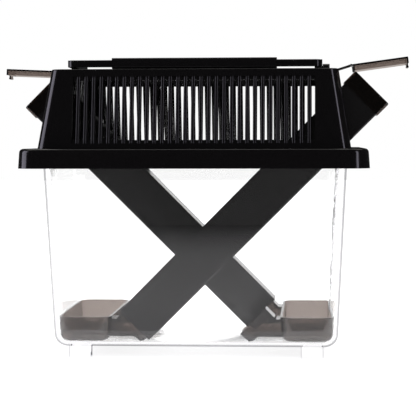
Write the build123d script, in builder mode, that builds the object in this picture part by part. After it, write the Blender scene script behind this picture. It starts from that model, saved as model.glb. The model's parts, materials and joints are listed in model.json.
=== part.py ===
from build123d import *
import os
from math import asin, atan2, cos, hypot, radians, sin, sqrt, tan

# A cricket keeper: a clear tank with a black hooded lid. Two dark tubes cross inside it at 45 degrees,
# each standing with its upper mouth outside the hood and its lower mouth on the spigot of a feeding dish.
# A hinged cover closes each upper mouth, and a folding handle lies on the hood.
# Millimetres. X runs along the tank, Y from front to back, Z up. The origin is the middle of the base, on
# the surface that the four feet stand on. Tubes, collars, covers, straps and dishes have a twin half a
# turn about Z.

# ---- tank
foot_height = 6.0
foot_length = 11.8
foot_width = 9.0
foot_corner = 2.5
foot_inset_x = 7.4
foot_inset_y = 4.5
tank_inset_x = 11.5
tank_inset_y = 11.0
tank_taper_x = 4.8
tank_taper_y = 5.0
tank_body_height = 96.0
tank_wall = 2.0
tank_floor = 2.0
tank_corner = 8.0
tank_bottom_edge = 7.0
shelf_thickness = 2.0
rim_height = 4.2
rim_wall = 2.0

# ---- lid: the length and depth of its skirt are the largest of the tank and hood
skirt_length = 182.0
skirt_depth = 116.0
skirt_corner = 11.0
skirt_drop = 8.0
skirt_draft = 4.0
skirt_wall = 1.8
skirt_edge = 2.2
rim_clearance = 0.8
deck_thickness = 2.2
hood_inset_x = 9.5
hood_inset_y = 8.2
hood_taper_x = 6.4
hood_taper_y = 7.5
hood_height = 41.4
hood_corner = 6.0
hood_wall = 1.8
hood_top_thickness = 2.0
hood_top_edge = 0.8

# ---- ventilation grille in the front and back of the hood
slot_pitch = 4.0
slot_width = 1.8
slot_end_margin = 1.8
grille_foot_margin = 2.8
grille_top_margin = 4.1
grille_side_margin = 4.0
recess_depth = 0.8

# ---- tubes: each runs from a spigot near the floor to a mouth beside its cover's hinge
tube_plane_y = 26.5
tube_top_width = 23.2
tube_top_depth = 17.2
tube_low_width = 22.2
tube_low_depth = 16.2
tube_wall = 1.4
tube_corner = 1.0
tube_clearance = 0.4

# ---- collar on the upper end of each tube
collar_length = 8.4
collar_wall = 0.6
collar_fit = 0.1
collar_lip = 0.9
collar_corner = 1.8
collar_edge = 0.8

# ---- covers and their straps
hinge_reach = 6.9
hinge_rise = 2.0
mouth_setback = 3.6
mouth_drop = 0.88
right_cover_angle = 7.7
left_cover_angle = 2.4
cover_top_rise = 0.1
cover_thickness = 0.9
cover_wall = 0.8
cover_skirt = 3.4
cover_side_gap = 0.35
cover_start = 0.5
cover_end_gap = 0.3
cover_edge = 0.3
hinge_bead = 0.45
latch_width = 6.0
latch_length = 5.0
latch_thickness = 0.8
latch_bead = 0.6
strap_width = 12.0
strap_thickness = 0.8
strap_tab = 8.0
strap_gap = 0.15
pocket_gap = 0.1
pocket_run_out = 1.6

# ---- handle and its lugs
handle_pivot_rise = 2.2
handle_end_inset = 8.4
handle_front_inset = 6.3
handle_arm_width = 4.0
handle_bar_width = 6.0
handle_thickness = 3.5
handle_crank = 0.85
handle_grip_length = 86.0
handle_grip_width = 8.0
handle_grip_thickness = 5.6
handle_corner = 4.0
handle_edge = 0.8
handle_grip_edge = 1.2
pin_radius = 1.1
pin_clearance = 0.06
pin_length = 3.0
lug_gap = 0.4
lug_thickness = 3.8
lug_radius = 2.2
lug_width = 9.0
lug_foot_angle = 60.0

# ---- dishes
dish_gap_x = 0.35
dish_gap_y = 1.8
dish_length = 28.6
dish_height = 13.9
dish_draft = 4.0
dish_wall = 1.2
spigot_reach = 8.9
spigot_rise = 5.7
spigot_length = 7.8
spigot_bite = 3.4
spigot_fit = 0.2
spigot_wall = 1.2
neck_floor_rise = 2.9
neck_top_drop = 1.6

# ---- sizes and levels worked out from the values above
hood_length = skirt_length - 2 * hood_inset_x
hood_depth = skirt_depth - 2 * hood_inset_y
hood_top_length = hood_length - 2 * hood_taper_x
hood_top_depth = hood_depth - 2 * hood_taper_y
tank_top_length = skirt_length - 2 * tank_inset_x
tank_top_depth = skirt_depth - 2 * tank_inset_y
tank_bottom_length = tank_top_length - 2 * tank_taper_x
tank_bottom_depth = tank_top_depth - 2 * tank_taper_y
foot_x = tank_bottom_length / 2 - foot_inset_x - foot_length / 2
foot_y = tank_bottom_depth / 2 - foot_inset_y - foot_width / 2
shelf_level = foot_height + tank_body_height
seat_level = shelf_level + shelf_thickness + rim_height
deck_level = seat_level + deck_thickness
hood_top_level = deck_level + hood_height
tank_inside_floor = foot_height + tank_floor
dish_rim = tank_inside_floor + dish_height


def between(low, high, part_way):
    """The value part of the way from low to high."""
    return low + (high - low) * part_way


def tank_length_at(level):
    return between(tank_bottom_length, tank_top_length, (level - foot_height) / tank_body_height)


def tank_depth_at(level):
    return between(tank_bottom_depth, tank_top_depth, (level - foot_height) / tank_body_height)


def skirt_inset_at(level):
    """How far the drafted skirt stands in from its lower edge at a level."""
    return (level - seat_level + skirt_drop) * tan(radians(skirt_draft))


def hood_length_at(level):
    return between(hood_length, hood_top_length, (level - deck_level) / hood_height)


def hood_depth_at(level):
    return between(hood_depth, hood_top_depth, (level - deck_level) / hood_height)


# ---- the front tube's axis: it starts in the middle of the left dish's front spigot, and its mouth stands
# square to it, mouth_drop below the hinge of the right cover and mouth_setback away from it
dish_outer_x = tank_length_at(dish_rim) / 2 - tank_wall - dish_gap_x
dish_inner_x = dish_outer_x - dish_length
collar_width = tube_top_width + 2 * (collar_fit + collar_wall)
collar_depth = tube_top_depth + 2 * (collar_fit + collar_wall)
hinge_x = hood_top_length / 2 + hinge_reach
hinge_z = hood_top_level + hinge_rise
spigot_start = Vector(spigot_reach - dish_inner_x, -tube_plane_y, tank_inside_floor + spigot_rise)
start_to_hinge = Vector(hinge_x, -tube_plane_y, hinge_z) - spigot_start
hinge_offset = mouth_setback + collar_width / 2
tube_angle = atan2(start_to_hinge.Z, start_to_hinge.X) - asin(hinge_offset / start_to_hinge.length)
mouth_distance = sqrt(start_to_hinge.length**2 - hinge_offset**2) - mouth_drop
tube_high_end = mouth_distance - collar_lip
tube_low_end = spigot_length - spigot_bite
axis_x = cos(tube_angle)
axis_z = sin(tube_angle)


def tube_section(distance):
    """Plane square to the front tube's axis. Its x points down to the right, its y to the back."""
    centre = spigot_start + Vector(axis_x, 0, axis_z) * distance
    return Plane(origin=centre, x_dir=(axis_z, 0, -axis_x), z_dir=(axis_x, 0, axis_z))


def hand_in(shape, name, turn=0):
    """Turns a finished shape about Z, names it and writes its STEP file."""
    with BuildPart() as piece:
        with Locations(Location((0, 0, 0), (0, 0, turn))):
            add(shape)
    piece.part.label = name
    export_step(piece.part, f"parts/{name}.step")
    print(f"{name}: {len(piece.solids())} solid, {piece.part.volume:.1f} mm3")


os.makedirs("parts", exist_ok=True)

# ---- tank: tapered shell, shelf and upstand that carry the lid, four feet
rim_length = skirt_length - 2 * (skirt_inset_at(seat_level) + skirt_wall + rim_clearance)
rim_depth = skirt_depth - 2 * (skirt_inset_at(seat_level) + skirt_wall + rim_clearance)
rim_corner = skirt_corner - skirt_wall - rim_clearance

with BuildPart() as tank_space:
    for level in (tank_inside_floor, shelf_level + shelf_thickness):
        with BuildSketch(Plane.XY.offset(level)):
            RectangleRounded(
                tank_length_at(level) - 2 * tank_wall,
                tank_depth_at(level) - 2 * tank_wall,
                tank_corner - tank_wall,
            )
    loft()
    fillet(tank_space.faces().sort_by(Axis.Z)[0].edges(), tank_bottom_edge - tank_wall)

with BuildPart() as tank:
    with BuildSketch(Plane.XY.offset(foot_height)):
        RectangleRounded(tank_bottom_length, tank_bottom_depth, tank_corner)
    with BuildSketch(Plane.XY.offset(shelf_level)):
        RectangleRounded(tank_top_length, tank_top_depth, tank_corner)
    loft()
    fillet(tank.faces().sort_by(Axis.Z)[0].edges(), tank_bottom_edge)
    with BuildSketch():
        with GridLocations(2 * foot_x, 2 * foot_y, 2, 2):
            RectangleRounded(foot_length, foot_width, foot_corner)
    extrude(amount=foot_height + tank_floor / 2)
    with BuildSketch(Plane.XY.offset(shelf_level)):
        RectangleRounded(rim_length, rim_depth, rim_corner)
    extrude(amount=shelf_thickness + rim_height)
    with BuildSketch(Plane.XY.offset(shelf_level + shelf_thickness)):
        RectangleRounded(rim_length - 2 * rim_wall, rim_depth - 2 * rim_wall, rim_corner - rim_wall)
    extrude(amount=rim_height, mode=Mode.SUBTRACT)
    add(tank_space.part, mode=Mode.SUBTRACT)
hand_in(tank.part, "tank")

# ---- tube, collar and the way out that the hood leaves for them
with BuildPart() as tube:
    with BuildSketch(tube_section(tube_low_end)):
        RectangleRounded(tube_low_width, tube_low_depth, tube_corner)
    with BuildSketch(tube_section(tube_high_end)):
        RectangleRounded(tube_top_width, tube_top_depth, tube_corner)
    loft()
    with BuildSketch(tube_section(tube_low_end)):
        Rectangle(tube_low_width - 2 * tube_wall, tube_low_depth - 2 * tube_wall)
    with BuildSketch(tube_section(tube_high_end)):
        Rectangle(tube_top_width - 2 * tube_wall, tube_top_depth - 2 * tube_wall)
    loft(mode=Mode.SUBTRACT)
hand_in(tube.part, "front_tube")
hand_in(tube.part, "back_tube", 180)

collar_start = mouth_distance - collar_length
with BuildPart() as collar:
    with BuildSketch(tube_section(collar_start)):
        RectangleRounded(collar_width, collar_depth, collar_corner)
    extrude(amount=collar_length)
    fillet(collar.faces().sort_by(Axis((0, 0, 0), (axis_x, 0, axis_z)))[-1].edges(), collar_edge)
    with BuildSketch(tube_section(collar_start)):
        RectangleRounded(tube_top_width + 2 * collar_fit, tube_top_depth + 2 * collar_fit, tube_corner)
    extrude(amount=collar_length - collar_lip, mode=Mode.SUBTRACT)
    with BuildSketch(tube_section(collar_start)):
        Rectangle(tube_top_width - 2 * tube_wall, tube_top_depth - 2 * tube_wall)
    extrude(amount=collar_length, mode=Mode.SUBTRACT)
hand_in(collar.part, "front_collar")
hand_in(collar.part, "back_collar", 180)

# the opening starts inside the hood, short of the collar, and ends outside it
opening_start = (hood_length_at(seat_level) / 2 - hood_wall - spigot_start.X) / axis_x - tube_top_width
with BuildPart() as tube_way:
    with BuildSketch(tube_section(opening_start)):
        RectangleRounded(
            tube_top_width + 2 * tube_clearance,
            tube_top_depth + 2 * tube_clearance,
            tube_corner,
        )
    extrude(amount=collar_start - opening_start)

# ---- grille: a shallow recess with a window through it, and the round-nosed ribs that stand in the window
hood_slant = hypot(hood_height, hood_taper_y)
grille_height = hood_slant - grille_foot_margin - grille_top_margin
slot_count = int((hood_top_length - 2 * hood_corner - 2 * grille_side_margin) / slot_pitch)
grille_length = slot_count * slot_pitch - slot_pitch + slot_width
front_face = Plane(
    origin=(0, -hood_depth / 2, deck_level),
    x_dir=(1, 0, 0),
    z_dir=(0, -hood_height / hood_slant, hood_taper_y / hood_slant),
)
with BuildPart() as grille_window:
    with BuildSketch(front_face):
        with Locations((0, grille_foot_margin + grille_height / 2)):
            Rectangle(grille_length, grille_height)
    extrude(amount=-recess_depth)
    with BuildSketch(front_face):
        with Locations((0, grille_foot_margin + grille_height / 2)):
            Rectangle(grille_length, grille_height - 2 * slot_end_margin)
    extrude(amount=-2 * hood_wall)

rib_width = slot_pitch - slot_width
rib_depth = hood_wall * hood_height / hood_slant
rib_foot = Plane(
    origin=front_face.from_local_coords(Vector(0, grille_foot_margin, 0)),
    x_dir=(1, 0, 0),
    z_dir=front_face.y_dir,
)
with BuildPart() as ribs:
    with BuildSketch(rib_foot):
        with GridLocations(slot_pitch, 0, slot_count - 1, 1):
            with Locations((0, rib_width / 2)):
                Circle(rib_width / 2)
            with Locations((0, (rib_depth + rib_width / 2) / 2)):
                Rectangle(rib_width, rib_depth - rib_width / 2)
    extrude(amount=grille_height)

# ---- covers: side profile in a plane whose x runs out along the cover and whose y is its upper side
cover_inner_depth = collar_depth + 2 * cover_side_gap
cover_depth = cover_inner_depth + 2 * cover_wall
cover_inner_end = mouth_setback + collar_width + cover_end_gap
cover_outer_end = cover_inner_end + cover_wall
cover_under = cover_top_rise - cover_thickness
cover_foot = cover_under - cover_skirt + cover_thickness


def make_cover(rest_angle):
    """A shallow cover, open below, that stands at rest_angle above the level."""
    side = Plane(
        origin=(hinge_x, -tube_plane_y, hinge_z),
        x_dir=(cos(radians(rest_angle)), 0, sin(radians(rest_angle))),
        z_dir=(0, -1, 0),
    )
    with BuildPart() as cover:
        with BuildSketch(side):
            with Locations((cover_start, cover_foot)):
                Rectangle(cover_outer_end - cover_start, cover_top_rise - cover_foot, align=Align.MIN)
        extrude(amount=cover_depth / 2, both=True)
        fillet(cover.faces().sort_by(Axis.Z)[-1].edges(), cover_edge)
        with BuildSketch(side):
            with Locations((cover_start + cover_wall, cover_foot)):
                Rectangle(
                    cover_inner_end - cover_start - cover_wall,
                    cover_under - cover_foot,
                    align=Align.MIN,
                )
        extrude(amount=cover_inner_depth / 2, both=True, mode=Mode.SUBTRACT)
        with BuildSketch(side):
            Circle(hinge_bead)
            with Locations((cover_start / 2 + cover_wall / 4, (cover_top_rise - hinge_bead) / 2)):
                Rectangle(cover_start + cover_wall / 2, hinge_bead + cover_top_rise)
        extrude(amount=strap_width / 2, both=True)
        with BuildSketch(side):
            with Locations((cover_outer_end - latch_thickness, cover_top_rise - latch_length)):
                Rectangle(latch_thickness, latch_length, align=Align.MIN)
            with Locations((cover_outer_end - latch_thickness / 2, cover_top_rise - latch_length)):
                Circle(latch_bead)
        extrude(amount=latch_width / 2, both=True)
    return cover.part


hand_in(make_cover(right_cover_angle), "right_cover")
hand_in(make_cover(left_cover_angle), "left_cover", 180)

# ---- strap: a flat tab let into the hood's top, and an arm that rises from its edge to the hinge
strap_level = hood_top_level - strap_thickness / 2
strap_bend_x = hood_top_length / 2 - hood_top_edge
strap_rise = Vector(hinge_x - strap_bend_x, 0, hinge_z - strap_level)
strap_end = Vector(strap_bend_x, 0, strap_level) + strap_rise * (
    (strap_rise.length - hinge_bead - strap_gap) / strap_rise.length
)
with BuildPart() as strap:
    with BuildSketch(Plane.XZ.offset(tube_plane_y)):
        with BuildLine():
            Polyline(
                (strap_bend_x - strap_tab, strap_level),
                (strap_bend_x, strap_level),
                (strap_end.X, strap_end.Z),
            )
        trace(line_width=strap_thickness)
    extrude(amount=strap_width / 2, both=True)
hand_in(strap.part, "right_strap")
hand_in(strap.part, "left_strap", 180)

# ---- lid: drafted skirt and deck, tapered hood, grilles, tube openings, strap pockets and handle lugs
pivot_level = hood_top_level + handle_pivot_rise
handle_half_span = hood_top_length / 2 - handle_end_inset
handle_reach = hood_top_depth / 2 - handle_front_inset
lug_x = handle_half_span + lug_gap + lug_thickness / 2

with BuildPart() as lid:
    with BuildSketch(Plane.XY.offset(seat_level - skirt_drop)):
        RectangleRounded(skirt_length, skirt_depth, skirt_corner)
    with BuildSketch(Plane.XY.offset(deck_level)):
        RectangleRounded(
            skirt_length - 2 * skirt_inset_at(deck_level),
            skirt_depth - 2 * skirt_inset_at(deck_level),
            skirt_corner - skirt_inset_at(deck_level),
        )
    loft()
    fillet(lid.faces().sort_by(Axis.Z)[-1].edges(), skirt_edge)
    with BuildSketch(Plane.XY.offset(seat_level - skirt_drop)):
        RectangleRounded(
            skirt_length - 2 * skirt_wall,
            skirt_depth - 2 * skirt_wall,
            skirt_corner - skirt_wall,
        )
    with BuildSketch(Plane.XY.offset(seat_level)):
        RectangleRounded(
            skirt_length - 2 * (skirt_wall + skirt_inset_at(seat_level)),
            skirt_depth - 2 * (skirt_wall + skirt_inset_at(seat_level)),
            skirt_corner - skirt_wall - skirt_inset_at(seat_level),
        )
    loft(mode=Mode.SUBTRACT)
    with BuildSketch(Plane.XY.offset(deck_level)):
        RectangleRounded(hood_length, hood_depth, hood_corner)
    with BuildSketch(Plane.XY.offset(hood_top_level)):
        RectangleRounded(hood_top_length, hood_top_depth, hood_corner)
    loft()
    fillet(lid.faces().sort_by(Axis.Z)[-1].edges(), hood_top_edge)
    for level in (seat_level, hood_top_level - hood_top_thickness):
        with BuildSketch(Plane.XY.offset(level)):
            RectangleRounded(
                hood_length_at(level) - 2 * hood_wall,
                hood_depth_at(level) - 2 * hood_wall,
                hood_corner - hood_wall,
            )
    loft(mode=Mode.SUBTRACT)
    with PolarLocations(0, 2):
        add(grille_window.part, mode=Mode.SUBTRACT)
        add(tube_way.part, mode=Mode.SUBTRACT)
    with PolarLocations(0, 2):
        add(ribs.part)
    with BuildSketch(Plane.XY.offset(hood_top_level)):
        for side in (1, -1):
            with Locations((side * (strap_bend_x - strap_tab / 2), -side * tube_plane_y)):
                Rectangle(strap_tab + 2 * pocket_gap, strap_width + 2 * pocket_gap)
            with Locations((side * hood_top_length / 2, -side * tube_plane_y)):
                Rectangle(2 * pocket_run_out, strap_width + 2 * pocket_gap)
    extrude(amount=-strap_thickness, mode=Mode.SUBTRACT)
    with BuildSketch(Plane.YZ):
        with Locations((0, pivot_level)):
            Circle(lug_radius)
        with Locations((0, hood_top_level + handle_pivot_rise / 2)):
            Rectangle(2 * lug_radius, handle_pivot_rise)
        with Locations((0, hood_top_level - hood_top_thickness / 2 + lug_radius / 4)):
            Trapezoid(lug_width, hood_top_thickness + lug_radius / 2, lug_foot_angle)
    extrude(amount=lug_x + lug_thickness / 2, both=True)
    with BuildSketch(Plane.XY.offset(hood_top_level)):
        Rectangle(2 * lug_x - lug_thickness, lug_width)
    extrude(amount=2 * handle_pivot_rise + lug_radius, mode=Mode.SUBTRACT)
    with BuildSketch(Plane.YZ):
        with Locations((0, pivot_level)):
            Circle(pin_radius + pin_clearance)
    extrude(amount=lug_x + lug_thickness, both=True, mode=Mode.SUBTRACT)
hand_in(lid.part, "lid")

# ---- handle: a bar on two arms, folded forward, with a thicker grip and a pin on each arm
bar_level = pivot_level + handle_crank
half_thickness = handle_thickness / 2
with BuildPart() as handle_arm:
    with BuildSketch(Plane.YZ.offset(handle_half_span)):
        with Locations((0, pivot_level)):
            Circle(half_thickness)
        Polygon(
            (0, pivot_level - half_thickness),
            (0, pivot_level + half_thickness),
            (-handle_reach, bar_level + half_thickness),
            (-handle_reach, bar_level - half_thickness),
        )
    extrude(amount=-handle_arm_width)
    with BuildSketch(Plane.YZ.offset(handle_half_span)):
        with Locations((0, pivot_level)):
            Circle(pin_radius)
    extrude(amount=pin_length)

with BuildPart() as handle:
    with BuildSketch(Plane.XY.offset(bar_level - half_thickness)):
        with Locations((0, -handle_reach)):
            Rectangle(2 * handle_half_span, handle_bar_width)
    extrude(amount=handle_thickness)
    fillet(handle.edges().filter_by(Axis.Z).group_by(Axis.Y)[0], handle_corner)
    fillet(handle.faces().sort_by(Axis.Z)[-1].edges(), handle_edge)
    with BuildSketch(Plane.YZ.offset(-handle_grip_length / 2)):
        with Locations((-handle_reach, bar_level)):
            RectangleRounded(handle_grip_width, handle_grip_thickness, handle_grip_edge)
    extrude(amount=handle_grip_length)
    add(handle_arm.part)
    mirror(handle_arm.part, about=Plane.YZ)
hand_in(handle.part, "handle")

# ---- dishes: a tray whose outer end and sides stand clear of the tank's walls, and two necks with
# spigots, so that the same moulding suits either tube
dish_inset = dish_height * tan(radians(dish_draft))
dish_corner = tank_corner - tank_wall
dish_bottom_edge = tank_bottom_edge - tank_wall
spigot_width = tube_low_width - 2 * (tube_wall + spigot_fit)
spigot_depth = tube_low_depth - 2 * (tube_wall + spigot_fit)
neck_low = tank_inside_floor + neck_floor_rise
neck_high = dish_rim - neck_top_drop


def dish_inner_at(level):
    """The drafted inner side of the dish, nearest the middle of the tank."""
    return dish_inner_x + between(dish_inset, 0, (level - tank_inside_floor) / dish_height)


def dish_outer_at(level):
    return tank_length_at(level) / 2 - tank_wall - dish_gap_x


def dish_middle_at(level):
    return (dish_inner_at(level) + dish_outer_at(level)) / 2


def dish_length_at(level):
    return dish_outer_at(level) - dish_inner_at(level)


def dish_depth_at(level):
    return tank_depth_at(level) - 2 * (tank_wall + dish_gap_y)


def base_x(level):
    """Where the spigot's base plane meets a level, in the plane of the front tube."""
    return spigot_start.X - (level - spigot_start.Z) * axis_z / axis_x


with BuildPart() as spigot:
    for spigot_y in (0, 2 * tube_plane_y):
        base_plane = tube_section(0)
        base_plane.origin = base_plane.origin + Vector(0, spigot_y, 0)
        with BuildSketch(base_plane):
            Rectangle(spigot_width, spigot_depth)
        extrude(amount=spigot_length)
        with BuildSketch(Plane.XZ.offset(tube_plane_y - spigot_y)):
            Polygon(
                (-dish_inner_x - dish_wall, neck_low),
                (-dish_inner_x - dish_wall, neck_high),
                (base_x(neck_high) + dish_wall, neck_high),
                (base_x(neck_low) + dish_wall, neck_low),
            )
        extrude(amount=spigot_depth / 2, both=True)

with BuildPart() as spigot_bore:
    for spigot_y in (0, 2 * tube_plane_y):
        bore_plane = tube_section(spigot_wall)
        bore_plane.origin = bore_plane.origin + Vector(0, spigot_y, 0)
        with BuildSketch(bore_plane):
            Rectangle(spigot_width - 2 * spigot_wall, spigot_depth - 2 * spigot_wall)
        extrude(amount=spigot_length)
        with BuildSketch(Plane.XZ.offset(tube_plane_y - spigot_y)):
            Polygon(
                (-dish_inner_x - 2 * dish_wall, neck_low + spigot_wall),
                (-dish_inner_x - 2 * dish_wall, neck_high - spigot_wall),
                (base_x(neck_high) + 3 * spigot_wall, neck_high - spigot_wall),
                (base_x(neck_low) + 3 * spigot_wall, neck_low + spigot_wall),
            )
        extrude(amount=spigot_depth / 2 - spigot_wall, both=True)

with BuildPart() as tray_space:
    for level in (tank_inside_floor + dish_wall, dish_rim):
        with BuildSketch(Plane.XY.offset(level)):
            with Locations((-dish_middle_at(level), 0)):
                RectangleRounded(
                    dish_length_at(level) - 2 * dish_wall,
                    dish_depth_at(level) - 2 * dish_wall,
                    dish_corner - dish_wall,
                )
    loft()
    fillet(tray_space.faces().sort_by(Axis.Z)[0].edges(), dish_bottom_edge - dish_wall)

with BuildPart() as dish:
    for level in (tank_inside_floor, dish_rim):
        with BuildSketch(Plane.XY.offset(level)):
            with Locations((-dish_middle_at(level), 0)):
                RectangleRounded(dish_length_at(level), dish_depth_at(level), dish_corner)
    loft()
    fillet(dish.faces().sort_by(Axis.Z)[0].edges(), dish_bottom_edge)
    add(spigot.part)
    add(tray_space.part, mode=Mode.SUBTRACT)
    add(spigot_bore.part, mode=Mode.SUBTRACT)
    split(bisect_by=Plane.XY.offset(tank_inside_floor), keep=Keep.TOP)
hand_in(dish.part, "left_dish")
hand_in(dish.part, "right_dish", 180)
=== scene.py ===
# %% [markdown]
# # A cricket keeper in clear, smoky and black plastic
# A cricket keeper is a small see-through tank with a black ventilated hood. Two dark tubes cross inside it.
# Each one stands with its foot in a smoky feeding dish and its mouth outside the hood, under a hinged cover.
# Every piece is injection moulded, so the whole look comes from a few plastics: how clear they are, how
# thick their walls are, and how polished the mould was.
# The solids already have their exact shape. This file gives them their finishes, adds two film hinges that
# are too thin to be solids, and sets up the camera, the studio and the floor.

# %% Load the frame
import json
import math

import bmesh
import bpy
from mathutils import Matrix, Vector


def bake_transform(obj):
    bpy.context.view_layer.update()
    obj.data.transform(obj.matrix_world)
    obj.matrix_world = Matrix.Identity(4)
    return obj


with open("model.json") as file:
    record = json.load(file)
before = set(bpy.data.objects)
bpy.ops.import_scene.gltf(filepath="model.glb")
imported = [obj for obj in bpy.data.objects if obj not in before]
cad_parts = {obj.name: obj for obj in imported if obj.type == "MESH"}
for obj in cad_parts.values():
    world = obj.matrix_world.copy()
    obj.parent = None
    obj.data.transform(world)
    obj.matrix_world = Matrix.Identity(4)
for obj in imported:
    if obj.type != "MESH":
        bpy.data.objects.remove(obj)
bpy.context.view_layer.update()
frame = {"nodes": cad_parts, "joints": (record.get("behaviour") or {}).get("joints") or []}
nodes = frame["nodes"]
joints = {joint["name"]: joint for joint in frame["joints"]}
print("nodes:", ", ".join(sorted(nodes)))

# %% [markdown]
# The scene is in metres, and moulded parts are measured in millimetres, so lengths are written times MM.
# Colours could be typed as the linear numbers that shaders want, but sRGB hex values can be held against a
# paint chart, so they are written that way and one function converts them.

# %% Units and colour
MM = 0.001
WHITE = "#ffffff"


def linear(hex_colour):
    """An sRGB hex colour as linear red, green, blue and alpha."""
    channels = [int(hex_colour[i : i + 2], 16) / 255 for i in (1, 3, 5)]
    return [c / 12.92 if c <= 0.04045 else ((c + 0.055) / 1.055) ** 2.4 for c in channels] + [1.0]


print("half-tone grey #808080 in linear light:", round(linear("#808080")[0], 3))

# %% [markdown]
# Materials could be wired by hand in the shader editor, but then nobody can read how they were made. Three
# small functions do it here: one starts a material, one adds a node to it, and one puts it on the solids. An
# input of a node is either a plain value or the output of another node, so a material reads as a list of
# what feeds what.


# %% Material helpers
def new_material(name):
    """A material with an empty node tree, and that tree."""
    material = bpy.data.materials.new(name)
    material.use_nodes = True
    material.node_tree.nodes.clear()
    return material, material.node_tree


def add_node(tree, kind, settings=None, inputs=None):
    """Adds a node. settings are its properties. Each input is set to a value, or linked to a socket."""
    node = tree.nodes.new(kind)
    for key, value in (settings or {}).items():
        setattr(node, key, value)
    for key, value in (inputs or {}).items():
        if isinstance(value, bpy.types.NodeSocket):
            tree.links.new(value, node.inputs[key])
        else:
            node.inputs[key].default_value = value
    return node


def dress(material, *names):
    """Gives the named solids one material. Their smooth shading stays as the frame brought it."""
    for name in names:
        mesh = nodes[name].data
        mesh.materials.clear()
        mesh.materials.append(material)
    print(material.name, "on", ", ".join(names))


print("solids to dress:", len(nodes))

# %% [markdown]
# The camera comes early, because everything after it is judged through it. It stands three quarters of a
# metre in front, a little to the right of the middle and just above the lid's skirt. A wide lens close by
# would spread the tank's sides, and a long one from there leaves them nearly as they are. A small lens shift
# places the object in the frame without a tilt that would make upright edges lean. Angles are in degrees.

# %% Camera
camera_place = Vector((62.1, -738.0, 115.3)) * MM
camera_yaw = 3.08
camera_pitch = -2.06
camera_roll = -0.12
camera_shift = (-0.08, -0.05)
sensor_width = 36.0
frame_pixels = 416
focal_pixels = 1343.4

camera_data = bpy.data.cameras.new("camera")
camera_data.sensor_width = sensor_width
camera_data.lens = focal_pixels * sensor_width / frame_pixels
camera_data.shift_x, camera_data.shift_y = camera_shift
camera = bpy.data.objects.new("camera", camera_data)
turn = Matrix.Rotation(math.radians(camera_yaw), 4, "Z")
turn = turn @ Matrix.Rotation(math.radians(90 + camera_pitch), 4, "X")
turn = turn @ Matrix.Rotation(math.radians(camera_roll), 4, "Z")
camera.matrix_world = Matrix.Translation(camera_place) @ turn
bpy.context.scene.collection.objects.link(camera)
bpy.context.scene.camera = camera
print("lens in mm:", round(camera_data.lens, 1))

# %% [markdown]
# The studio has to look white where it is seen straight or through the tank, and still be dark in the mirror
# of black plastic. White sheets and black cards around the object would do that, but they would stand in the
# way of views from other sides. Every ray knows what it has been through, so the rays are told apart
# instead. The same two questions come up in the room, the floor and the tank, so each is asked in one place.
# A ray counts its bounces in whole numbers, so half a bounce tells none from some.

# %% What a ray has been through
HALF_A_BOUNCE = 0.5


def came_through(tree, ray):
    """1 once the ray has passed a face of clear plastic, else 0."""
    passed = {0: ray.outputs["Transmission Depth"], 1: HALF_A_BOUNCE}
    return add_node(tree, "ShaderNodeMath", {"operation": "GREATER_THAN"}, passed).outputs[0]


def straight_view(tree, ray):
    """1 for the camera's own rays, also after they went through clear plastic, and 0 after any reflection."""
    depths = {0: ray.outputs["Diffuse Depth"], 1: ray.outputs["Glossy Depth"]}
    turned = add_node(tree, "ShaderNodeMath", {"operation": "ADD"}, depths)
    unturned = {0: turned.outputs[0], 1: HALF_A_BOUNCE}
    return add_node(tree, "ShaderNodeMath", {"operation": "LESS_THAN"}, unturned).outputs[0]


print("rays are told apart at", HALF_A_BOUNCE, "bounce")

# %% [markdown]
# Black gloss plastic shows little but reflections, so the room that it mirrors matters more than its own
# colour. The outside of the object mirrors an almost black room, which keeps the hood black. Inside clear
# plastic, where light bounces between walls, the room is dark in front and white behind, which keeps the
# walls pale. The edges below say how far towards the back a ray has to point to see the brighter side.

# %% Mirrored room
backdrop_edge = (0.70, 0.88)
room_dark = 0.03
backdrop_dim = 0.04
backdrop_edge_inside = (-0.50, 0.10)
room_dark_inside = 0.17
room_through = 1.15

world = bpy.data.worlds.new("studio")
bpy.context.scene.world = world
world.use_nodes = True
tree = world.node_tree
tree.nodes.clear()
ray = add_node(tree, "ShaderNodeLightPath")
way = add_node(tree, "ShaderNodeTexCoord")
axes = add_node(tree, "ShaderNodeSeparateXYZ", inputs={0: way.outputs["Generated"]})
rooms = []
for edge, darkest, brightest in (
    (backdrop_edge, room_dark, backdrop_dim),
    (backdrop_edge_inside, room_dark_inside, room_through),
):
    room = add_node(
        tree,
        "ShaderNodeMapRange",
        {"interpolation_type": "SMOOTHSTEP"},
        {0: axes.outputs["Y"], 1: edge[0], 2: edge[1], 3: darkest, 4: brightest},
    )
    rooms.append(room.outputs[0])
mirrored_room = add_node(tree, "ShaderNodeMix", inputs={0: came_through(tree, ray), 2: rooms[0], 3: rooms[1]})
print("room in the outer mirror:", room_dark, "to", backdrop_dim)

# %% [markdown]
# The other answers of the room are plain. Light that falls on dull surfaces comes from an even grey. A
# straight look sees white, and a touch more than white through clear walls, because every face of a wall
# turns a few percent of the light away.

# %% Room light
room_fill = 0.5
room_plain = 1.0

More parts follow.
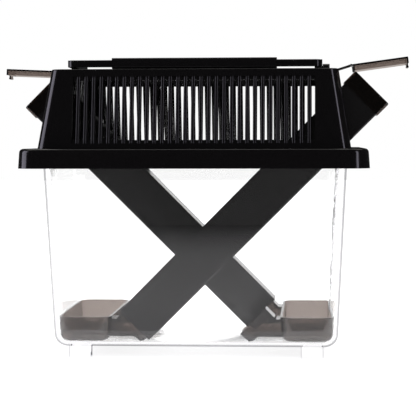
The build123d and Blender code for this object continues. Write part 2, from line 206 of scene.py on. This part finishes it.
diffuse_bounces = {0: ray.outputs["Diffuse Depth"], 1: HALF_A_BOUNCE}
dull = add_node(tree, "ShaderNodeMath", {"operation": "GREATER_THAN"}, diffuse_bounces)
seen_through = {0: ray.outputs["Is Transmission Ray"], 2: room_plain, 3: room_through}
straight = add_node(tree, "ShaderNodeMix", inputs=seen_through)
reflected = {0: dull.outputs[0], 2: mirrored_room.outputs[0], 3: room_fill}
turned_away = add_node(tree, "ShaderNodeMix", inputs=reflected)
answers = {0: straight_view(tree, ray), 2: turned_away.outputs[0], 3: straight.outputs[0]}
strength = add_node(tree, "ShaderNodeMix", inputs=answers)
light = {"Color": linear(WHITE), "Strength": strength.outputs[0]}
background = add_node(tree, "ShaderNodeBackground", inputs=light)
add_node(tree, "ShaderNodeOutputWorld", inputs={"Surface": background.outputs[0]})
print("room strengths: fill", room_fill, "straight", room_plain, "through plastic", room_through)

# %% [markdown]
# The lamps are soft boxes, as in a product studio. The large one on the left draws the broad pale line down
# the left corners of the hood and the skirt. A narrow strip at the front right draws the thin one there.
# One overhead lights the dishes and the floor. Bare bulbs would draw dots in the gloss, and these draw the
# long lines that show a moulded edge. The side lamps are a little lavender, as old studio tubes are.

# %% Lamps
LAMP_LAVENDER = "#f1ecff"
LAMP_WHITE = "#fffdf8"
lamp_aim = Vector((0.0, 0.0, 0.08))


def soft_box(name, place, width, height, power, hex_colour):
    """A rectangular lamp at a place in metres, turned to the middle of the object."""
    lamp = bpy.data.lights.new(name, "AREA")
    lamp.shape = "RECTANGLE"
    lamp.size = width
    lamp.size_y = height
    lamp.energy = power
    lamp.color = linear(hex_colour)[:3]
    holder = bpy.data.objects.new(name, lamp)
    holder.rotation_mode = "QUATERNION"
    holder.rotation_quaternion = (lamp_aim - Vector(place)).to_track_quat("-Z", "Y")
    holder.location = place
    bpy.context.scene.collection.objects.link(holder)
    print(name, "at", place, "power", power)


soft_box("left_soft_box", (-0.86, -0.12, 0.30), 0.50, 0.70, 2.8, LAMP_LAVENDER)
soft_box("right_strip", (0.66, -0.54, 0.25), 0.16, 0.70, 1.0, LAMP_LAVENDER)
soft_box("overhead_box", (0.0, 0.35, 1.00), 1.40, 0.50, 3.5, LAMP_WHITE)

# %% [markdown]
# The floor is a plain sheet of matt white paper. The tank's front wall leans, so it mirrors the floor in
# front of it. The sheet therefore ends 0.46 m in front. Its last part is painted dark, a painted shade that
# stands in for light falling off towards the front of the table. It looks dark in such mirrors, which lets
# the wall stay clear. Distances are in metres along the floor, and the front is negative.

# %% Floor paper
FLOOR_PALE = "#e2e2e2"
BLACK = (0, 0, 0, 1)
floor_front = -0.46
painted_edge_shade = (-0.50, -0.30)

matt_paper, tree = new_material("matt_white_paper")
ray = add_node(tree, "ShaderNodeLightPath")
place = add_node(tree, "ShaderNodeTexCoord")
axes = add_node(tree, "ShaderNodeSeparateXYZ", inputs={0: place.outputs["Object"]})
inner = add_node(
    tree,
    "ShaderNodeMapRange",
    {"interpolation_type": "SMOOTHSTEP"},
    {0: axes.outputs["Y"], 1: painted_edge_shade[0], 2: painted_edge_shade[1]},
)
# painted shade: the paper's colour runs from black at the front edge to pale further in
pale_paper_and_painted_shade = {0: inner.outputs[0], 6: BLACK, 7: linear(FLOOR_PALE)}
paper_with_painted_shade = add_node(tree, "ShaderNodeMix", {"data_type": "RGBA"}, pale_paper_and_painted_shade)
paper = add_node(tree, "ShaderNodeBsdfDiffuse", inputs={"Color": paper_with_painted_shade.outputs[2]})
print("floor paper is darkened from", painted_edge_shade[1], "to", floor_front, "m")

# %% [markdown]
# A straight look has to find the floor as white as the backdrop, with no horizon, except where the object
# takes light from it. Stronger lamps would whiten it too, but they would turn the black hood grey. A little
# glow added to the paper changes the floor alone, and leaves the shadow in place. The glow
# is for straight looks, and for light that went through the object and has met nothing dull since, on the
# floor beneath and behind it. It is stronger towards the dark front edge, and through clear walls.

# %% Floor glow
floor_glow = 0.82
edge_glow = 0.24
beneath_from = -0.10
through_lift = 1.2

inside = came_through(tree, ray)
diffuse_bounces = {0: ray.outputs["Diffuse Depth"], 1: HALF_A_BOUNCE}
undiffused = add_node(tree, "ShaderNodeMath", {"operation": "LESS_THAN"}, diffuse_bounces)
depth_on_floor = {0: axes.outputs["Y"], 1: beneath_from}
beneath = add_node(tree, "ShaderNodeMath", {"operation": "GREATER_THAN"}, depth_on_floor)
through_walls = inside
for condition in (undiffused, beneath):
    both = {0: through_walls, 1: condition.outputs[0]}
    through_walls = add_node(tree, "ShaderNodeMath", {"operation": "MULTIPLY"}, both).outputs[0]
either = {0: straight_view(tree, ray), 1: through_walls}
shows = add_node(tree, "ShaderNodeMath", {"operation": "MAXIMUM"}, either)
lift = add_node(tree, "ShaderNodeMix", inputs={0: inside, 2: 1.0, 3: through_lift})
front_to_back = {0: inner.outputs[0], 2: floor_glow + edge_glow, 3: floor_glow}
glow_level = add_node(tree, "ShaderNodeMix", inputs=front_to_back).outputs[0]
for factor in (shows, lift):
    product = {0: glow_level, 1: factor.outputs[0]}
    glow_level = add_node(tree, "ShaderNodeMath", {"operation": "MULTIPLY"}, product).outputs[0]
glow = add_node(tree, "ShaderNodeEmission", inputs={"Color": linear(WHITE), "Strength": glow_level})
lit_paper = add_node(tree, "ShaderNodeAddShader", inputs={0: paper.outputs[0], 1: glow.outputs[0]})
add_node(tree, "ShaderNodeOutputMaterial", inputs={"Surface": lit_paper.outputs[0]})
print("floor glow:", floor_glow, "and at the front edge", floor_glow + edge_glow)

# %% [markdown]
# The sheet itself is one face at floor height, wide and deep enough to fill the view behind the object.

# %% Floor sheet
floor_side = 3.0
floor_back = 3.0

floor_mesh = bpy.data.meshes.new("floor")
corners = [
    (-floor_side, floor_front, 0),
    (floor_side, floor_front, 0),
    (floor_side, floor_back, 0),
    (-floor_side, floor_back, 0),
]
floor_mesh.from_pydata(corners, [], [(0, 1, 2, 3)])
floor_mesh.materials.append(matt_paper)
floor = bpy.data.objects.new("floor", floor_mesh)
bpy.context.scene.collection.objects.link(floor)
print("floor in m:", 2 * floor_side, "by", floor_back - floor_front)

# %% [markdown]
# A polished clear wall mirrors more and more as it is seen flatter, and here it would mirror the dark room
# that the black hood needs, so the tank's corners would turn black. A ray that grazes a wall from outside
# therefore slips straight past it, and comes out greyer the flatter it came in, which paints a thin grey
# outline: a painted reflection in place of the wall's own grazing mirror. A ray already inside does so only
# when it is almost edge-on, because those rays carry the fine lines that show how thick a corner is.
# Flatness runs from 0, face on, to 1, edge-on.

# %% Outline of a clear wall
SLIP_COLOUR = "#fbfbfc"
FLATNESS_BLEND = 0.5
slips_outside = (0.44, 0.52)
slips_inside = (0.88, 0.98)
# painted reflection: the flatness over which a ray slipping in from outside turns to the outline's grey
painted_outline_greys = (0.50, 0.70)
slips_at_most = 0.97


def outlined(tree, plastic, outline):
    """The plastic's surface, past which grazing rays slip and take on the outline's colour, a painted
    reflection.
    """
    ray = add_node(tree, "ShaderNodeLightPath")
    inside = came_through(tree, ray)
    flatness = add_node(tree, "ShaderNodeLayerWeight", inputs={"Blend": FLATNESS_BLEND}).outputs["Facing"]
    ramps = []
    for (start, end), most in (
        (slips_outside, slips_at_most),
        (slips_inside, slips_at_most),
        (painted_outline_greys, 1.0),
    ):
        ramp = add_node(
            tree,
            "ShaderNodeMapRange",
            {"interpolation_type": "SMOOTHSTEP"},
            {0: flatness, 1: start, 2: end, 4: most},
        )
        ramps.append(ramp.outputs[0])
    slips = add_node(tree, "ShaderNodeMix", inputs={0: inside, 2: ramps[0], 3: ramps[1]})
    greys = add_node(tree, "ShaderNodeMix", inputs={0: inside, 2: ramps[2], 3: 0.0})
    tones = {0: greys.outputs[0], 6: linear(SLIP_COLOUR), 7: linear(outline)}
    colour = add_node(tree, "ShaderNodeMix", {"data_type": "RGBA"}, tones)
    past = add_node(tree, "ShaderNodeBsdfTransparent", inputs={"Color": colour.outputs[2]})
    blend = {0: slips.outputs[0], 1: plastic.outputs[0], 2: past.outputs[0]}
    return add_node(tree, "ShaderNodeMixShader", inputs=blend)


print("outline from flatness", slips_outside[0], "outside and", slips_inside[0], "inside")

# %% [markdown]
# See-through plastic has polished faces that bend light, and a body that soaks some of it up. A tint on the
# faces alone would be quicker, but thick and thin walls would then look alike. The body's strength is worked
# out from the share of light that comes through one wall of known thickness, so a thin wall looks pale and
# the same plastic seen edge-on looks nearly black. A lamp's shadow rays can't bend, so for them alone the
# surface is plainly see-through, or the pieces inside would stand in the dark.

# %% See-through plastic
POLYSTYRENE_IOR = 1.59
SHADOW_PASS = (0.93, 0.93, 0.93, 1)
tint_margin = 1.02


def see_through_plastic(name, wall, wall_colour, roughness, wave_size, wave_height, outline=None):
    """Moulded polystyrene. wall_colour is what white light becomes after one wall of that thickness."""
    material, tree = new_material(name)
    absorbed = [-math.log(share) / wall for share in linear(wall_colour)[:3]]
    density = max(absorbed) * tint_margin
    tint = [1 - a / density for a in absorbed] + [1.0]
    place = add_node(tree, "ShaderNodeTexCoord").outputs["Object"]
    ripple = {"Vector": place, "Scale": 1 / wave_size, "Detail": 1.0, "Roughness": 0.4}
    waves = add_node(tree, "ShaderNodeTexNoise", inputs=ripple)
    swell = {"Strength": 1.0, "Distance": wave_height, "Height": waves.outputs[0]}
    uneven = add_node(tree, "ShaderNodeBump", inputs=swell)
    polish = {
        "Base Color": linear(WHITE),
        "Roughness": roughness,
        "IOR": POLYSTYRENE_IOR,
        "Transmission Weight": 1.0,
        "Normal": uneven.outputs[0],
    }
    face = add_node(tree, "ShaderNodeBsdfPrincipled", inputs=polish)
    if outline:
        face = outlined(tree, face, outline)
    ray = add_node(tree, "ShaderNodeLightPath")
    open_way = add_node(tree, "ShaderNodeBsdfTransparent", inputs={"Color": SHADOW_PASS})
    shadowed = {0: ray.outputs["Is Shadow Ray"], 1: face.outputs[0], 2: open_way.outputs[0]}
    shell = add_node(tree, "ShaderNodeMixShader", inputs=shadowed)
    body = add_node(tree, "ShaderNodeVolumeAbsorption", inputs={"Color": tint, "Density": density})
    ends = {"Surface": shell.outputs[0], "Volume": body.outputs[0]}
    add_node(tree, "ShaderNodeOutputMaterial", inputs=ends)
    print(name, "lets through one wall:", [round(c, 2) for c in linear(wall_colour)[:3]])
    return material


# %% [markdown]
# The tank is clear polystyrene, the usual plastic of small animal tanks, out of a polished mould. A 2 mm wall
# takes almost nothing from the light, so the wall itself vanishes, and the eye finds the tank by its grey
# outlines, a painted reflection drawn at grazing looks, and the lines in its corners. Its walls are flat, so
# no wave is put on them.

# %% Clear polystyrene tank
clear_polystyrene = see_through_plastic(
    "clear_polished_polystyrene",
    wall=2.0 * MM,
    wall_colour="#fefefe",
    roughness=0.0,
    wave_size=60 * MM,
    wave_height=0.0,
    # the grey of the painted outline, a painted reflection at grazing looks
    outline="#dadadb",
)
dress(clear_polystyrene, "tank")

# %% [markdown]
# The dishes, covers and straps are the same smoky brown polystyrene, tinted in the mass. One wall of 1.2 mm
# lets about a fifth of the light through, the red part a little more, which is what makes it brown. The
# collars look darker than that, so they have a stronger tint of their own. A faint wave left by the mould,
# a hundredth of a millimetre high, makes the highlights waver.

# %% Smoky polystyrene
smoky_mould = {"roughness": 0.02, "wave_size": 14 * MM, "wave_height": 0.01 * MM}

smoky_polystyrene = see_through_plastic(
    "smoky_polished_polystyrene", wall=1.2 * MM, wall_colour="#897e78", **smoky_mould
)
for side in ("left", "right"):
    dress(smoky_polystyrene, f"{side}_dish", f"{side}_cover", f"{side}_strap")

dark_smoky_polystyrene = see_through_plastic(
    "dark_smoky_polished_polystyrene", wall=0.6 * MM, wall_colour="#978a82", **smoky_mould
)
dress(dark_smoky_polystyrene, "front_collar", "back_collar")

# %% [markdown]
# Each cover and its strap are one moulding, which bends at a film hinge: a strip a tenth of a millimetre
# thick and nearly as wide as the strap. Left out, it would leave a slit between the two, and a stiff strip
# would stand off when the cover swings, so it is made as a thin skin. It lies on the end of the strap
# and rolls over the round bead on the cover. film_line is its underside seen from the side, in
# millimetres along the strap and above it, counted from the hinge's axis.

# %% Film hinge shape
film_line = [(-1.6, 0.41), (-0.9, 0.41), (-0.55, 0.43), (-0.3, 0.47), (-0.1, 0.49), (0.1, 0.48), (0.28, 0.41)]
film_columns = 9
film_thickness = 0.1 * MM
film_inset = 0.3 * MM
strap_slope = math.radians(17.0)
strap_sides = [vertex.co.y for vertex in nodes["right_strap"].data.vertices]
film_width = max(strap_sides) - min(strap_sides) - 2 * film_inset


def film_mesh(name, hinge, along, above, across):
    """The strip as a closed shell of film_thickness, in the directions of its strap."""
    shell = bmesh.new()
    rows = []
    for run, rise in film_line:
        spine = hinge + along * run * MM + above * rise * MM
        sides = [(column / (film_columns - 1) - 0.5) * film_width for column in range(film_columns)]
        rows.append([shell.verts.new(spine + across * side) for side in sides])
    for near, far in zip(rows, rows[1:]):
        for column in range(film_columns - 1):
            shell.faces.new((near[column], far[column], far[column + 1], near[column + 1]))
    bmesh.ops.recalc_face_normals(shell, faces=shell.faces)
    if sum(face.normal.z for face in shell.faces) < 0:
        bmesh.ops.reverse_faces(shell, faces=shell.faces)
    raised = bmesh.ops.extrude_face_region(shell, geom=list(shell.faces))["geom"]
    for part in raised:
        if isinstance(part, bmesh.types.BMVert):
            part.co += above * film_thickness
    bmesh.ops.recalc_face_normals(shell, faces=shell.faces)
    mesh = bpy.data.meshes.new(name)
    shell.to_mesh(mesh)
    shell.free()
    return mesh


print("film hinge in mm:", round(film_width / MM, 1), "wide,", round(film_thickness / MM, 1), "thick")

# %% [markdown]
# The film is built at the cover hinge's axis and laid along its strap. The left hinge is the right one
# after half a turn, so its strap points the other way.


def film_hinge(side, outward):
    """The film between one strap and its cover. outward is 1 on the right side and -1 on the left."""
    name = f"{side}_film_hinge"
    hinge = Vector(joints[f"{side}_cover_hinge"]["pos_m"])
    along = Vector((outward * math.cos(strap_slope), 0, math.sin(strap_slope)))
    above = Vector((-outward * math.sin(strap_slope), 0, math.cos(strap_slope)))
    across = Vector((0, outward, 0))
    mesh = film_mesh(name, hinge, along, above, across)
    for polygon in mesh.polygons:
        polygon.use_smooth = True
    mesh.materials.append(smoky_polystyrene)
    film = bpy.data.objects.new(name, mesh)
    bpy.context.scene.collection.objects.link(film)
    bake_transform(film)
    print(name, "faces:", len(mesh.polygons))


film_hinge("right", 1)
film_hinge("left", -1)

# %% [markdown]
# The lid and the handle are black gloss polystyrene. Its own colour is almost nothing, and what shows is the
# reflection of the soft boxes. A polished mould still leaves a slow unevenness of a few hundredths of a
# millimetre, which makes such highlights waver. That could be modelled, but a bump shows the same and needs
# no faces. Handling leaves fine rub marks, which change the gloss a little from place to place.

# %% Black gloss plastic
LID_BLACK = "#070607"
black_ior = 1.54
wave_size = 18 * MM
wave_height = 0.03 * MM
rub_size = 5 * MM
rub_contrast = (0.35, 0.70)
gloss_range = (0.10, 0.17)

black_polystyrene, tree = new_material("polished_black_polystyrene")
place = add_node(tree, "ShaderNodeTexCoord").outputs["Object"]
waves = add_node(tree, "ShaderNodeTexNoise", inputs={"Vector": place, "Scale": 1 / wave_size, "Detail": 2.0})
rubs = {"Vector": place, "Scale": 1 / rub_size, "Detail": 6.0, "Roughness": 0.6}
rubbed = add_node(tree, "ShaderNodeTexNoise", inputs=rubs)
rub_to_gloss = {
    0: rubbed.outputs[0],
    1: rub_contrast[0],
    2: rub_contrast[1],
    3: gloss_range[0],
    4: gloss_range[1],
}
gloss = add_node(tree, "ShaderNodeMapRange", inputs=rub_to_gloss)
swell = {"Strength": 1.0, "Distance": wave_height, "Height": waves.outputs[0]}
uneven = add_node(tree, "ShaderNodeBump", inputs=swell)
polish = {
    "Base Color": linear(LID_BLACK),
    "Roughness": gloss.outputs[0],
    "IOR": black_ior,
    "Normal": uneven.outputs[0],
}
plastic = add_node(tree, "ShaderNodeBsdfPrincipled", inputs=polish)
add_node(tree, "ShaderNodeOutputMaterial", inputs={"Surface": plastic.outputs[0]})
dress(black_polystyrene, "lid", "handle")

# %% [markdown]
# The tubes are opaque charcoal plastic. Their mould is finely etched so that insects can grip the wall, which
# takes the mirror off the plastic and leaves a satin gloss. Roughness does most of that. Real etching is
# usually finer than a tenth of a millimetre, and it is drawn half a millimetre coarse here so that it can
# show at this distance. Over a few centimetres the charcoal drifts between two close tones, so that a flat
# wall doesn't look painted.

# %% Charcoal tube plastic
CHARCOAL = "#100f10"
CHARCOAL_WARM = "#151414"
charcoal_ior = 1.55
satin_roughness = 0.14
etch_grain = 0.5 * MM
etch_depth = 0.0008 * MM
cloud_size = 30 * MM

etched_charcoal, tree = new_material("etched_charcoal_plastic")
place = add_node(tree, "ShaderNodeTexCoord").outputs["Object"]
grain = add_node(tree, "ShaderNodeTexNoise", inputs={"Vector": place, "Scale": 1 / etch_grain, "Detail": 3.0})
pits = {"Strength": 1.0, "Distance": etch_depth, "Height": grain.outputs[0]}
etching = add_node(tree, "ShaderNodeBump", inputs=pits)
cloud = add_node(tree, "ShaderNodeTexNoise", inputs={"Vector": place, "Scale": 1 / cloud_size, "Detail": 4.0})
tones = {0: cloud.outputs[0], 6: linear(CHARCOAL), 7: linear(CHARCOAL_WARM)}
tone = add_node(tree, "ShaderNodeMix", {"data_type": "RGBA"}, tones)
satin = {
    "Base Color": tone.outputs[2],
    "Roughness": satin_roughness,
    "IOR": charcoal_ior,
    "Normal": etching.outputs[0],
}
plastic = add_node(tree, "ShaderNodeBsdfPrincipled", inputs=satin)
add_node(tree, "ShaderNodeOutputMaterial", inputs={"Surface": plastic.outputs[0]})
dress(etched_charcoal, "front_tube", "back_tube")

# %% [markdown]
# The last step sets the scene's view transform to Standard.

# %% Finish
bpy.context.scene.view_settings.view_transform = "Standard"
